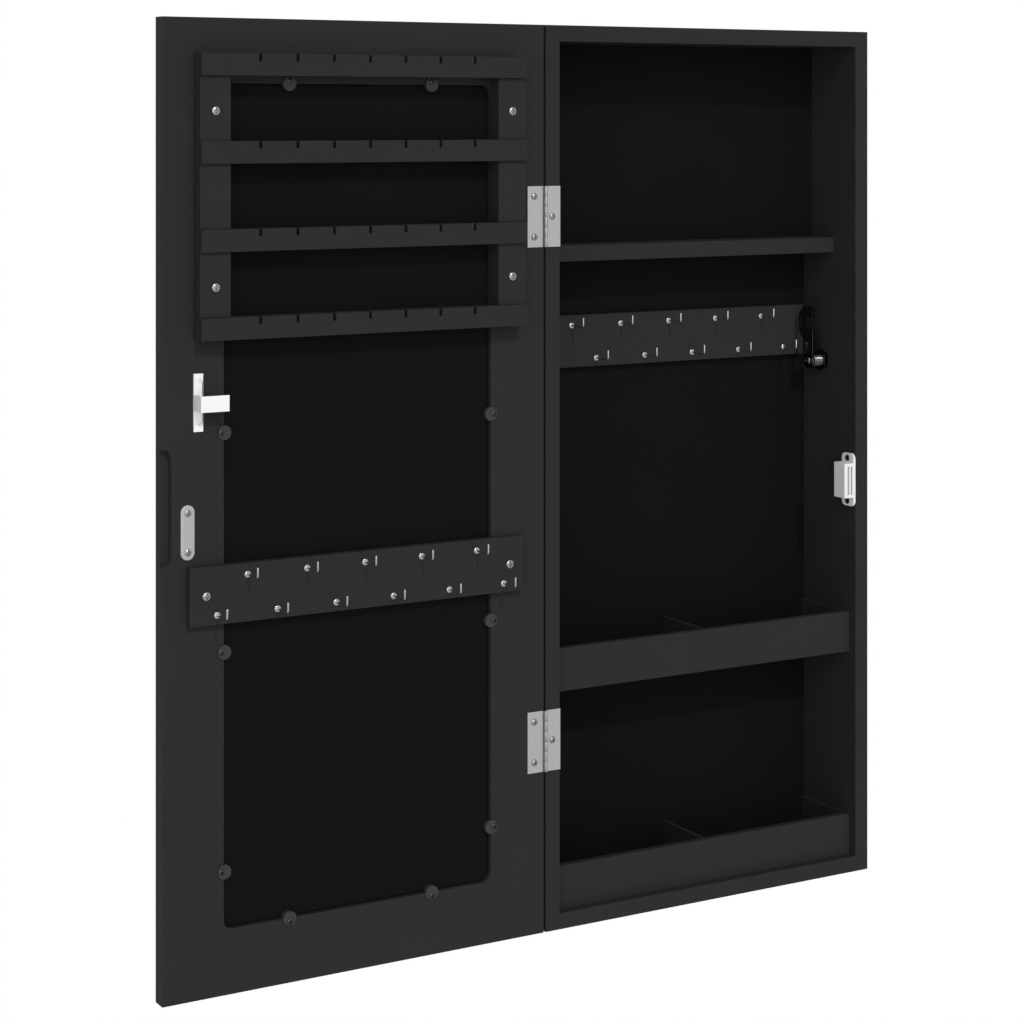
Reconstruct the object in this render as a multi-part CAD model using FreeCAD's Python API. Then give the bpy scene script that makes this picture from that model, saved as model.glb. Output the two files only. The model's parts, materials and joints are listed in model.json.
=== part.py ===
import FreeCAD, Part
import math
import os

V = FreeCAD.Vector

# A wall-hung jewelry cabinet with a full-height mirror door.
# Frame: +Z up, the front faces -Y, the wall is at +Y and x = 0 is mid width.
# The origin lies on the rear plane, midway between the two wall keyholes.
# The door is drawn open flat at 180 degrees, beside the cabinet's left side.
# All sizes are in millimetres. A "drop" is measured down from the cabinet's top.

# ---- carcass ----
cabinet_width = 300.0
cabinet_height = 670.0
cabinet_depth = 70.0
carcass_board = 12.0
back_board = 2.5
rebate_width = 6.0
hanging_board = 10.0
shelf_board = 12.0
shelf_drop = 165.3
shelf_recess = 28.5

# ---- trays ----
tray_front_height = 32.0
tray_front_board = 6.0
tray_recess = 8.0
tray_base_board = 12.0
upper_tray_drop = 464.0
divider_board = 3.0

# ---- door ----
door_board = 12.0
door_side_gap = 1.8
door_rail = 45.0
rebate_corner_radius = 6.0
lip_width = 7.0
lip_thickness = 4.0
lip_corner_radius = 4.0
glass_thickness = 3.0
glass_fit = 1.0
backing_thickness = 2.0
finger_pull_length = 79.0
finger_pull_width = 6.6
finger_pull_depth = 5.5
finger_pull_drop = 333.2
finger_pull_radius = 5.5

# ---- mirror clips ----
clip_radius = 5.0
clip_thickness = 1.4
clip_screw_offset = 2.3
clip_foot_fit = 0.3
clip_end_spread = 112.0
clip_rack_gap = 64.4
clip_hook_bar_gap = 20.7
clip_window_end_gap = 39.9

# ---- necklace rack ----
rack_drop = 24.5
rack_stile_width = 22.5
rack_stile_board = 12.0
rail_count = 4
rail_pitch = 60.0
rail_height = 15.4
rail_board = 12.0
rail_stand_proud = 3.0
slot_count = 7
slot_pitch = 28.0
slot_width = 2.2
slot_depth = 5.2
rack_screw_gap = 24.0

# ---- hook bars ----
hook_bar_height = 40.0
hook_bar_board = 6.0
hook_bar_rail_lap = 26.0
hook_bar_shift = 1.6
hook_bar_strike_gap = 4.4
hook_bar_screw_inset = 12.0
cabinet_hook_bar_drop = 221.5
cabinet_hook_bar_end_gap = 6.0
hook_pitch = 45.0
hook_row_count = 5
hook_door_lower_row_count = 6
hook_upper_row_inset = 7.7
hook_lower_row_inset = 6.3
hook_reach = 18.0
hook_wire_radius = 0.75
hook_tip_height = 8.2
hook_bend_radius = 2.0
hook_flange_radius = 2.4
hook_flange_thickness = 1.0
hook_end_wall = 1.5

# ---- hinges ----
hinge_height = 45.0
hinge_end_inset = 141.5
hinge_leaf_thickness = 0.8
hinge_door_leaf_width = 15.0
hinge_cabinet_leaf_width = 13.0
hinge_knuckle_wall = 0.7
hinge_knuckle_inset = 0.05
hinge_knuckle_count = 6
hinge_knuckle_gap = 0.2
hinge_roll_gap = 0.15
hinge_pin_radius = 0.8
hinge_pin_clearance = 0.05
hinge_door_screw_reach = 9.2
hinge_screw_end = 7.5
hinge_cabinet_screw_reach = 6.3

# ---- cam lock ----
lock_depth = 43.0
lock_rack_gap = 45.6
barrel_radius = 6.0
barrel_inner_length = 12.0
barrel_clearance = 0.05
thread_pitch = 1.0
thread_depth = 0.3
lock_head_radius = 8.0
lock_head_thickness = 2.5
lock_head_chamfer = 0.8
plug_radius = 4.5
plug_clearance = 0.05
plug_collar_overlap = 0.9
plug_collar_thickness = 1.4
plug_end_reach = 0.5
plug_square = 5.0
plug_square_short = 0.1
key_slot_width = 1.2
key_slot_length = 6.0
key_slot_depth = 5.0
nut_flats = 15.0
nut_thickness = 4.0
cam_thickness = 2.0
cam_door_clearance = 2.0
cam_hub_radius = 6.5
cam_shaft_front = 6.0
cam_shaft_back = 1.8
cam_head_wall = 3.6
cam_head_start = 12.0
cam_head_slope = 2.0
cam_tip_chamfer = 2.5
notch_root_clearance = 0.8
notch_inner_clearance = 6.4
notch_outer_clearance = 0.856
cam_screw_shank = 1.5
cam_screw_head = 3.6
cam_screw_rim = 1.0
cam_screw_rise = 2.4
cam_screw_bite = 7.0

# ---- lock bracket on the door ----
bracket_metal = 1.5
bracket_cam_clearance = 0.6
bracket_rise = 2.9
bracket_strip_height = 39.6
bracket_strip_width = 6.8
bracket_stand_off = 14.0
bracket_arm_reach = 20.8
bracket_arm_height = 11.0
bracket_screw_end = 4.9

# ---- magnetic catch ----
catch_lock_gap = 92.5
flange_end = 3.9
flange_depth = 15.0
flange_thickness = 2.0
flange_corner_radius = 4.0
flange_screw_depth = 7.5
flange_screw_gap = 3.45
catch_body_height = 27.4
catch_body_depth = 15.0
catch_body_reach = 10.5
catch_corner_radius = 1.5
pole_thickness = 1.1
pole_height = 22.2
pole_depth = 11.0
pole_stand_proud = 0.4
magnet_thickness = 2.0
magnet_height = 20.0
magnet_depth = 9.0
magnet_wall_offset = 5.5
catch_fit = 0.1
strike_width = 10.5
strike_height = 38.0
strike_thickness = 1.2
strike_offset = 0.6
strike_rise = 7.4
strike_screw_end = 5.7

# ---- wall hangers ----
hanger_drop = 40.0
hanger_spacing = 200.0
hanger_width = 18.0
hanger_height = 46.0
hanger_thickness = 1.5
hanger_screw_end = 6.0
keyhole_radius = 4.5
keyhole_slot_radius = 2.25
keyhole_rise = 7.0
pocket_margin = 1.5
pocket_depth = 6.0

# ---- dowels and nails ----
dowel_radius = 3.0
dowel_in_side = 8.0
dowel_in_board = 16.0
dowel_clearance = 0.05
dowel_edge_inset = 15.0
shelf_dowel_inset = 10.5
nail_radius = 0.6
nail_length = 14.0
nail_head_radius = 1.3
nail_head_thickness = 0.6
nails_per_side = 4
nails_per_end = 2
nail_end_inset = 60.0

# ---- screws: radii, dome rim and rise, countersink, and the bite into what they hold ----
screw_clearance = 0.05
pan_shank = 1.75
pan_head = 3.1
pan_rim = 0.8
pan_rise = 1.9
pan_bite = 8.0
clip_screw_shank = 1.2
clip_screw_head = 2.2
clip_screw_rim = 0.3
clip_screw_rise = 1.0
clip_screw_bite = 8.8
catch_screw_shank = 1.3
catch_screw_head = 2.4
catch_screw_rim = 0.5
catch_screw_rise = 1.3
catch_screw_bite = 8.0
oval_rim = 0.05
hinge_screw_shank = 1.25
hinge_screw_head = 2.5
hinge_screw_rise = 1.2
hinge_screw_sink = 1.25
hinge_screw_bite = 10.2
plate_screw_shank = 1.3
plate_screw_sink = 1.0
bracket_screw_head = 2.0
bracket_screw_rise = 0.3
bracket_screw_bite = 8.5
strike_screw_head = 2.5
strike_screw_rise = 1.1
strike_screw_bite = 8.8
rear_screw_shank = 1.4
hanger_screw_head = 2.6
hanger_screw_sink = 1.2
hanger_screw_bite = 6.5
bar_rear_screw_head = 2.8
bar_rear_screw_sink = 1.4
bar_rear_screw_bite = 4.5
cross_width_share = 0.16
cross_length_share = 0.62
cross_depth_share = 0.55

# ---- how far a cutting tool runs past what it cuts ----
overrun = 1.0


class ScrewKind:
    """Sizes of one kind of screw; sink is the countersunk depth, rise the dome's height."""

    def __init__(self, shank, head, rim, rise, sink, length):
        self.shank = shank
        self.head = head
        self.rim = rim
        self.rise = rise
        self.sink = sink
        self.length = length


rack_screw = ScrewKind(pan_shank, pan_head, pan_rim, pan_rise, 0.0, rack_stile_board + pan_bite)
hook_bar_screw = ScrewKind(pan_shank, pan_head, pan_rim, pan_rise, 0.0, hook_bar_board + pan_bite)
hinge_screw = ScrewKind(hinge_screw_shank, hinge_screw_head, oval_rim, hinge_screw_rise, hinge_screw_sink,
                        hinge_leaf_thickness + hinge_screw_bite)
clip_screw = ScrewKind(clip_screw_shank, clip_screw_head, clip_screw_rim, clip_screw_rise, 0.0,
                       clip_thickness + clip_screw_bite)
bracket_screw = ScrewKind(plate_screw_shank, bracket_screw_head, oval_rim, bracket_screw_rise,
                          plate_screw_sink, bracket_metal + bracket_screw_bite)
strike_screw = ScrewKind(plate_screw_shank, strike_screw_head, oval_rim, strike_screw_rise,
                         plate_screw_sink, strike_thickness + strike_screw_bite)
catch_screw = ScrewKind(catch_screw_shank, catch_screw_head, catch_screw_rim, catch_screw_rise, 0.0,
                        flange_thickness + catch_screw_bite)
hanger_screw = ScrewKind(rear_screw_shank, hanger_screw_head, 0.0, 0.0, hanger_screw_sink,
                         back_board + hanger_screw_bite)
rear_screw = ScrewKind(rear_screw_shank, bar_rear_screw_head, 0.0, 0.0, bar_rear_screw_sink,
                       back_board + bar_rear_screw_bite)
cam_bolt = ScrewKind(cam_screw_shank, cam_screw_head, cam_screw_rim, cam_screw_rise, 0.0,
                     cam_thickness + cam_screw_bite)

# ---- sizes worked out from the sizes above ----
hinge_knuckle_radius = hinge_pin_radius + hinge_pin_clearance + hinge_knuckle_wall
door_closed_gap = 2 * (hinge_knuckle_radius - hinge_knuckle_inset)
hinge_door_screw_spread = hinge_height - 2 * hinge_screw_end
window_width = cabinet_width - 2 * door_rail
window_height = cabinet_height - 2 * door_rail
rack_width = window_width + 2 * rack_stile_width
door_hook_bar_length = window_width + 2 * hook_bar_rail_lap
rack_low_drop = rack_drop + (rail_count - 1) * rail_pitch + rail_height
lock_drop = rack_low_drop + lock_rack_gap
bracket_drop = lock_drop - bracket_rise
bracket_screw_spread = bracket_strip_height - 2 * bracket_screw_end
catch_drop = lock_drop + catch_lock_gap
flange_screw_spread = catch_body_height + 2 * flange_screw_gap
flange_height = flange_screw_spread + 2 * flange_end
strike_drop = catch_drop - strike_rise
strike_inset = carcass_board + magnet_wall_offset + strike_offset
strike_screw_spread = strike_height - 2 * strike_screw_end
door_hook_bar_drop = strike_drop + strike_height / 2 + hook_bar_strike_gap
hook_shank_length = hook_bar_board - hook_end_wall
hook_lower_row = hook_bar_height - hook_lower_row_inset
hanger_screw_spread = hanger_height - 2 * hanger_screw_end
plug_collar_radius = plug_radius + plug_collar_overlap
lower_tray_drop = cabinet_height - carcass_board - tray_front_height

# The cam's hook turns over the bracket's arm: these reach from the lock's axis to the closed door.
door_reach = lock_depth + door_closed_gap
arm_reach_back = door_reach - bracket_stand_off
arm_corner = math.hypot(arm_reach_back + bracket_metal, bracket_rise + bracket_arm_height / 2)
cam_length = door_reach - cam_door_clearance
notch_inner_radius = arm_reach_back - notch_inner_clearance
notch_outer_radius = arm_corner + notch_outer_clearance
notch_root = bracket_rise + bracket_arm_height / 2 + notch_root_clearance
cam_head_back = notch_root + cam_head_wall

# ---- places worked out from the sizes ----
top = hanger_drop
bottom = top - cabinet_height
front = -cabinet_depth
half_width = cabinet_width / 2
inner_half = half_width - carcass_board
inner_top = top - carcass_board
inner_bottom = bottom + carcass_board
back_face = -back_board
door_edge = -half_width - door_side_gap - cabinet_width
hinge_x = -half_width - door_side_gap / 2
hinge_y = front - door_closed_gap / 2
hinge_drops = {"upper": hinge_end_inset, "lower": cabinet_height - hinge_end_inset}
door_middle = door_edge + cabinet_width / 2
door_hook_bar_middle = door_middle - hook_bar_shift
window_middle_drop = cabinet_height / 2
lock_y = front + lock_depth
lock_z = top - lock_drop
barrel_end = inner_half - barrel_inner_length
cam_face = barrel_end - plug_end_reach
bracket_inset = half_width - cam_face - bracket_metal - bracket_cam_clearance
TOWARDS_FRONT = V(0, -1, 0)
TOWARDS_WALL = V(0, 1, 0)
TOWARDS_LEFT = V(-1, 0, 0)
TOWARDS_RIGHT = V(1, 0, 0)


# ---- helpers ----
def block(x0, x1, y0, y1, z0, z1):
    """A box between two corners."""
    return Part.makeBox(x1 - x0, y1 - y0, z1 - z0, V(x0, y0, z0))


def rod(start, along, radius, length):
    """A cylinder from start."""
    return Part.makeCylinder(radius, length, start, along)


def rounded_plate(width, height, radius, centre, thickness):
    """A rounded rectangle in the x-z plane, centred and extruded towards the wall."""
    x = width / 2
    z = height / 2
    r = min(radius, 0.999 * x, 0.999 * z)
    k = r * (1 - math.sqrt(0.5))
    corners = [(1, 1), (-1, 1), (-1, -1), (1, -1)]
    edges = []
    last = None
    for sx, sz in corners:
        side = V(sx * x, 0, sz * (z - r))
        end = V(sx * (x - r), 0, sz * z)
        start, stop = (side, end) if sx * sz > 0 else (end, side)
        middle = V(sx * (x - k), 0, sz * (z - k))
        if last is not None and last.distanceToPoint(start) > 1e-6:
            edges.append(Part.LineSegment(last, start).toShape())
        edges.append(Part.Arc(start, middle, stop).toShape())
        last = stop
    first = V(x, 0, z - r)
    if last.distanceToPoint(first) > 1e-6:
        edges.append(Part.LineSegment(last, first).toShape())
    face = Part.Face(Part.Wire(edges))
    plate = face.extrude(V(0, thickness, 0))
    plate.translate(centre)
    return plate


def polygon_prism(points, along):
    """A prism on a closed outline of points, extruded along a vector."""
    wire = Part.makePolygon(points + points[:1])
    return Part.Face(wire).extrude(along)


def turned(profile, at, out):
    """A turned solid: profile holds (radius, height) points, height measured along out."""
    points = [V(r, 0, h) for r, h in profile]
    wire = Part.makePolygon(points + points[:1])
    solid = Part.Face(wire).revolve(V(0, 0, 0), V(0, 0, 1), 360)
    solid = solid if solid.Volume > 0 else solid.reversed()
    solid = Part.makeSolid(Part.Shell(solid.Faces))
    solid.Placement = FreeCAD.Placement(at, FreeCAD.Rotation(V(0, 0, 1), out))
    return solid


def domed(radius, rim, rise, steps=5):
    """Outline points of a domed head, from its rim to its crown."""
    points = [(radius, 0.0)]
    for step in range(steps):
        angle = math.pi / 2 * step / steps
        points.append((radius * math.cos(angle), rim + (rise - rim) * math.sin(angle)))
    points.append((0.0, rise))
    return points


def screw(kind, at, out):
    """A cross-recessed screw whose head seats at a point and faces out."""
    tip = kind.shank
    profile = [(0.0, -kind.length), (kind.shank, -kind.length + tip)]
    if kind.sink > 0:
        profile.append((kind.shank, -kind.sink))
    else:
        profile.append((kind.shank, 0.0))
    if kind.rise > 0:
        profile += domed(kind.head, kind.rim, kind.rise)
    else:
        profile += [(kind.head, 0.0), (0.0, 0.0)]
    solid = turned(profile, V(0, 0, 0), V(0, 0, 1))
    half_long = kind.head * cross_length_share
    half_wide = kind.head * cross_width_share
    floor = kind.rise - kind.head * cross_depth_share
    reach = kind.head
    arm_x = block(-half_long, half_long, -half_wide, half_wide, floor, floor + reach)
    arm_y = block(-half_wide, half_wide, -half_long, half_long, floor, floor + reach)
    solid = solid.cut(arm_x.fuse(arm_y))
    solid.Placement = FreeCAD.Placement(at, FreeCAD.Rotation(V(0, 0, 1), out))
    return solid


def screw_hole(kind, at, out):
    """The hole that a screw leaves, a clearance wider all round."""
    shank = kind.shank + screw_clearance
    head = kind.head + screw_clearance
    profile = [(0.0, -kind.length - screw_clearance), (shank, -kind.length - screw_clearance)]
    if kind.sink > 0:
        profile += [(shank, -kind.sink - screw_clearance), (head, 0.0), (head, kind.head), (0.0, kind.head)]
    else:
        profile += [(shank, kind.head), (0.0, kind.head)]
    return turned(profile, at, out)


def down(drop):
    """Height of a level that lies a given drop below the cabinet's top."""
    return top - drop


def spread(count, pitch):
    """Evenly pitched offsets about zero."""
    return [(i - (count - 1) / 2) * pitch for i in range(count)]


def write(name, shape):
    """Save one node; a list of solids becomes one group."""
    solids = shape if isinstance(shape, list) else [shape]
    checked = []
    for solid in solids:
        checked += solid.removeSplitter().Solids
    whole = checked[0] if len(checked) == 1 else Part.makeCompound(checked)
    whole.exportStep("parts/" + name + ".step")


def cut_all(solid, tools):
    """Cut a list of tools out of a solid."""
    return solid.cut(tools) if tools else solid


# ---- screw places ----
def clip_places():
    """Each mirror clip's centre on the window's edge, and the unit step towards the frame."""
    left = door_middle - window_width / 2
    right = door_middle + window_width / 2
    high = down(door_rail)
    low = down(cabinet_height - door_rail)
    places = []
    for offset in spread(2, clip_end_spread):
        places.append((V(door_middle + offset, front, high), V(0, 0, 1)))
        places.append((V(door_middle + offset, front, low), V(0, 0, -1)))
    side_drops = (rack_low_drop + clip_rack_gap,
                  door_hook_bar_drop + hook_bar_height + clip_hook_bar_gap,
                  cabinet_height - door_rail - clip_window_end_gap)
    for drop in side_drops:
        places.append((V(left, front, down(drop)), TOWARDS_LEFT))
        places.append((V(right, front, down(drop)), TOWARDS_RIGHT))
    return places


def clip_screw_places():
    return [centre + step * clip_screw_offset - V(0, clip_thickness, 0) for centre, step in clip_places()]


def rack_screw_places():
    """One screw through each stile below the first rail and one below the last but one."""
    offset = (rack_width - rack_stile_width) / 2
    y = front - rack_stile_board
    drops = [rail_drops()[index] + rail_height + rack_screw_gap for index in (0, rail_count - 2)]
    return [V(door_middle + side * offset, y, down(drop)) for side in (-1, 1) for drop in drops]


def door_hook_bar_screw_places():
    offset = door_hook_bar_length / 2 - hook_bar_screw_inset
    z = down(door_hook_bar_drop + hook_bar_height / 2)
    return [V(door_hook_bar_middle + side * offset, front - hook_bar_board, z) for side in (-1, 1)]


def bracket_screw_places():
    x = door_edge + bracket_inset + (bracket_strip_width + bracket_metal) / 2
    return [V(x, front - bracket_metal, down(bracket_drop) + dz) for dz in spread(2, bracket_screw_spread)]


def strike_screw_places():
    x = door_edge + strike_inset
    return [V(x, front - strike_thickness, down(strike_drop) + dz) for dz in spread(2, strike_screw_spread)]


def hinge_door_screw_places(hinge):
    z = down(hinge_drops[hinge])
    x = hinge_x - hinge_door_screw_reach
    return [V(x, front - hinge_leaf_thickness, z + dz) for dz in spread(2, hinge_door_screw_spread)]


def hinge_cabinet_screw_place(hinge):
    return V(hinge_x + hinge_cabinet_screw_reach, front - hinge_leaf_thickness, down(hinge_drops[hinge]))


def catch_screw_places():
    y = front + flange_screw_depth
    x = inner_half - flange_thickness
    return [V(x, y, down(catch_drop) + dz) for dz in spread(2, flange_screw_spread)]


def hanger_screw_places():
    return [V(x, 0, dz) for x in spread(2, hanger_spacing) for dz in spread(2, hanger_screw_spread)]


def rear_screw_places():
    x = inner_half - cabinet_hook_bar_end_gap - 2 * hook_bar_screw_inset
    z = down(cabinet_hook_bar_drop + hook_bar_height / 2)
    return [V(side * x, 0, z) for side in (-1, 1)]


def nail_places():
    """Back panel nails, along the middle of the rebate's ledge."""
    inset = (rebate_width + carcass_board) / 2
    edge = half_width - inset
    rise = nail_end_inset
    span = cabinet_height - 2 * rise
    places = []
    for index in range(nails_per_side):
        z = down(rise + span * index / (nails_per_side - 1))
        places += [V(-edge, 0, z), V(edge, 0, z)]
    for x in spread(nails_per_end, half_width):
        places += [V(x, 0, top - inset), V(x, 0, bottom + inset)]
    return places


def nail(at, grow=0.0):
    head = nail_head_radius + grow
    shank = nail_radius + grow
    profile = [(0.0, -nail_length - grow), (shank, -nail_length + nail_radius - grow),
               (shank, -nail_head_thickness - grow), (head, -nail_head_thickness - grow), (head, 0.0),
               (0.0, 0.0)]
    return turned(profile, at, TOWARDS_WALL)


def nail_holes():
    return [nail(at, screw_clearance) for at in nail_places()]


# ---- dowels ----
def carcass_dowel_places():
    """Side (-1 left, 1 right), depth and height of each dowel in the corners."""
    levels = (top - carcass_board / 2, bottom + carcass_board / 2)
    depths = (front + dowel_edge_inset, back_face - dowel_edge_inset)
    return [(side, y, z) for side in (-1, 1) for z in levels for y in depths]


def shelf_dowel_places():
    """The same for the shelf and the upper tray's base."""
    inset = shelf_dowel_inset
    shelf_depths = (front + shelf_recess + inset, back_face - inset)
    tray_depths = (front + tray_recess + tray_front_board + inset, back_face - inset)
    shelf_z = down(shelf_drop + shelf_board / 2)
    tray_z = down(upper_tray_drop + tray_front_height - tray_base_board / 2)
    places = [(side, y, shelf_z) for side in (-1, 1) for y in shelf_depths]
    return places + [(side, y, tray_z) for side in (-1, 1) for y in tray_depths]


def dowel(place, grow=0.0):
    side, y, z = place
    length = dowel_in_side + dowel_in_board + 2 * grow
    start = V(side * (inner_half - dowel_in_board - grow), y, z)
    return rod(start, V(side, 0, 0), dowel_radius + grow, length)


def dowel_holes(places):
    return [dowel(place, dowel_clearance) for place in places]


# ---- carcass ----
def side_panel(side):
    x0, x1 = sorted((side * inner_half, side * half_width))
    panel = block(x0, x1, front, 0, bottom, top)
    ledge = sorted((side * inner_half, side * (half_width - rebate_width)))
    tools = [block(ledge[0], ledge[1], back_face, 0, bottom + rebate_width, top - rebate_width)]
    dowel_places = carcass_dowel_places() + shelf_dowel_places()
    tools += dowel_holes([place for place in dowel_places if place[0] == side])
    tools += [nail(at, screw_clearance) for at in nail_places()
              if abs(at.x - side * half_width) < carcass_board]
    if side < 0:
        tools += [screw_hole(hinge_screw, hinge_cabinet_screw_place(hinge), TOWARDS_FRONT)
                  for hinge in hinge_drops]
    else:
        tools += [screw_hole(catch_screw, at, TOWARDS_LEFT) for at in catch_screw_places()]
        bore = barrel_radius + barrel_clearance
        tools.append(rod(lock_point(inner_half - overrun), TOWARDS_RIGHT, bore, carcass_board + 2 * overrun))
    return cut_all(panel, tools)


def end_panel(level):
    """The top panel (level 1) or the bottom panel (level -1), between the sides."""
    z0, z1 = (inner_top, top) if level > 0 else (bottom, inner_bottom)
    panel = block(-inner_half, inner_half, front, 0, z0, z1)
    if level > 0:
        ledge = block(-inner_half, inner_half, back_face, 0, z0, top - rebate_width)
    else:
        ledge = block(-inner_half, inner_half, back_face, 0, bottom + rebate_width, z1)
    tools = [ledge] + dowel_holes([p for p in carcass_dowel_places() if z0 < p[2] < z1])
    tools += [nail(at, screw_clearance) for at in nail_places() if z0 < at.z < z1]
    return cut_all(panel, tools)


def back_panel():
    edge = half_width - rebate_width
    panel = block(-edge, edge, back_face, 0, bottom + rebate_width, top - rebate_width)
    tools = [hanger_plate_space(x) for x in spread(2, hanger_spacing)]
    tools += hanger_pockets() + nail_holes()
    tools += [screw_hole(hanger_screw, at, TOWARDS_WALL) for at in hanger_screw_places()]
    tools += [screw_hole(rear_screw, at, TOWARDS_WALL) for at in rear_screw_places()]
    return cut_all(panel, tools)


def hanging_panel():
    panel = block(-inner_half, inner_half, back_face - hanging_board, back_face, down(shelf_drop), inner_top)
    tools = hanger_pockets()
    tools += [screw_hole(hanger_screw, at, TOWARDS_WALL) for at in hanger_screw_places()]
    return cut_all(panel, tools)


def shelf():
    z = down(shelf_drop)
    panel = block(-inner_half, inner_half, front + shelf_recess, back_face, z - shelf_board, z)
    return cut_all(panel, dowel_holes([p for p in shelf_dowel_places() if z - shelf_board < p[2] < z]))


def tray_front(drop):
    y = front + tray_recess
    z = down(drop)
    return block(-inner_half, inner_half, y, y + tray_front_board, z - tray_front_height, z)


def tray_base():
    z1 = down(upper_tray_drop + tray_front_height - tray_base_board)
    y = front + tray_recess + tray_front_board
    panel = block(-inner_half, inner_half, y, back_face, z1 - tray_base_board, z1)
    return cut_all(panel, dowel_holes([p for p in shelf_dowel_places() if z1 - tray_base_board < p[2] < z1]))


def tray_dividers(drop, height):
    """Left liner, middle divider and right liner of one tray."""
    y = front + tray_recess + tray_front_board
    z = down(drop)
    inner = inner_half - divider_board
    middle = divider_board / 2
    spans = [(-inner_half, -inner), (-middle, middle), (inner, inner_half)]
    return [block(x0, x1, y, back_face, z - height, z) for x0, x1 in spans]


# ---- wall hangers ----
def hanger_plate_space(x):
    middle = V(x, -hanger_thickness, 0)
    return rounded_plate(hanger_width + 2 * screw_clearance, hanger_height + 2 * screw_clearance,
                         hanger_width / 2, middle, hanger_thickness)


def hanger_pockets():
    """Room behind each keyhole for the head of the wall screw."""
    depth = hanger_thickness + pocket_depth
    tools = []
    for x in spread(2, hanger_spacing):
        wide = keyhole_radius + pocket_margin
        for z in (0.0, keyhole_rise):
            tools.append(rod(V(x, -depth, z), TOWARDS_WALL, wide, pocket_depth))
        tools.append(block(x - wide, x + wide, -depth, -hanger_thickness, 0, keyhole_rise))
    return tools


def hanger_plate(x):
    plate = rounded_plate(hanger_width, hanger_height, hanger_width / 2, V(x, -hanger_thickness, 0),
                          hanger_thickness)
    y = -hanger_thickness - overrun
    through = hanger_thickness + 2 * overrun
    tools = [rod(V(x, y, 0), TOWARDS_WALL, keyhole_radius, through)]
    tools.append(rod(V(x, y, keyhole_rise), TOWARDS_WALL, keyhole_slot_radius, through))
    tools.append(block(x - keyhole_slot_radius, x + keyhole_slot_radius, y, y + through, 0, keyhole_rise))
    tools += [screw_hole(hanger_screw, at, TOWARDS_WALL) for at in hanger_screw_places()
              if abs(at.x - x) < hanger_width / 2]
    return cut_all(plate, tools)


# ---- hooks and hook bars ----
def hook_rows(middle, y, drop, upper, lower):
    """Seats of the hooks on a bar's front face; upper and lower are offsets along it."""
    rows = ((hook_upper_row_inset, upper), (hook_lower_row, lower))
    return [V(middle + dx, y, down(drop + row)) for row, offsets in rows for dx in offsets]


def door_hook_places():
    y = front - hook_bar_board
    upper = spread(hook_row_count, hook_pitch)
    lower = spread(hook_door_lower_row_count, hook_pitch)
    return hook_rows(door_middle, y, door_hook_bar_drop, upper, lower)


def cabinet_hook_places():
    """The lower row stands half a pitch to the right of the upper one."""
    y = back_face - hook_bar_board
    upper = spread(hook_row_count, hook_pitch)
    lower = [offset + hook_pitch / 2 for offset in upper]
    return hook_rows(0, y, cabinet_hook_bar_drop, upper, lower)


def hook(at):
    """A wire hook: shank in the bar, a seat flange, a straight reach and an upturned tip."""
    bend = hook_bend_radius
    start = at + V(0, hook_shank_length, 0)
    corner = at - V(0, hook_reach - hook_wire_radius, 0)
    before = corner + V(0, bend, 0)
    after = corner + V(0, 0, bend)
    middle = corner + V(0, bend, bend) - V(0, bend, bend) * math.sqrt(0.5)
    end = corner + V(0, 0, hook_tip_height - hook_wire_radius)
    path = Part.Wire([Part.LineSegment(start, before).toShape(), Part.Arc(before, middle, after).toShape(),
                      Part.LineSegment(after, end).toShape()])
    ring = Part.Wire(Part.Circle(start, TOWARDS_FRONT, hook_wire_radius).toShape())
    wire = path.makePipeShell([ring], True, False)
    flange = rod(at, TOWARDS_FRONT, hook_flange_radius, hook_flange_thickness)
    return wire.fuse(flange).removeSplitter().Solids[0]


def hook_bar(x0, x1, y0, drop, hooks, more_tools):
    z = down(drop)
    bar = block(x0, x1, y0, y0 + hook_bar_board, z - hook_bar_height, z)
    bore = hook_wire_radius + screw_clearance
    depth = hook_shank_length + screw_clearance
    tools = [rod(at, TOWARDS_WALL, bore, depth) for at in hooks]
    return cut_all(bar, tools + more_tools)


def door_hook_bar():
    middle = door_hook_bar_middle
    half = door_hook_bar_length / 2
    holes = [screw_hole(hook_bar_screw, at, TOWARDS_FRONT) for at in door_hook_bar_screw_places()]
    return hook_bar(middle - half, middle + half, front - hook_bar_board, door_hook_bar_drop,
                    door_hook_places(), holes)


def cabinet_hook_bar():
    half = inner_half - cabinet_hook_bar_end_gap
    holes = [screw_hole(rear_screw, at, TOWARDS_WALL) for at in rear_screw_places()]
    return hook_bar(-half, half, back_face - hook_bar_board, cabinet_hook_bar_drop, cabinet_hook_places(),
                    holes)


# ---- necklace rack ----
def rail_drops():
    return [rack_drop + index * rail_pitch for index in range(rail_count)]


def rack_stile(side):
    middle = door_middle + side * (rack_width - rack_stile_width) / 2
    half = rack_stile_width / 2
    stile = block(middle - half, middle + half, front - rack_stile_board, front,
                  down(rack_low_drop), down(rack_drop))
    rail_back = front - rack_stile_board - rail_stand_proud + rail_board
    tools = []
    for drop in rail_drops():
        z = down(drop)
        tools.append(block(middle - rack_stile_width, middle + rack_stile_width,
                           front - rack_stile_board - overrun, rail_back, z - rail_height, z))
    tools += [screw_hole(rack_screw, at, TOWARDS_FRONT) for at in rack_screw_places()]
    return cut_all(stile, tools)


def rack_rail(drop):
    y = front - rack_stile_board - rail_stand_proud
    z = down(drop)
    half = rack_width / 2
    rail = block(door_middle - half, door_middle + half, y, y + rail_board, z - rail_height, z)
    tools = []
    for dx in spread(slot_count, slot_pitch):
        x = door_middle + dx
        tools.append(block(x - slot_width / 2, x + slot_width / 2, y - overrun, y + rail_board + overrun,
                           z - slot_depth, z + overrun))
    return cut_all(rail, tools)


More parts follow.
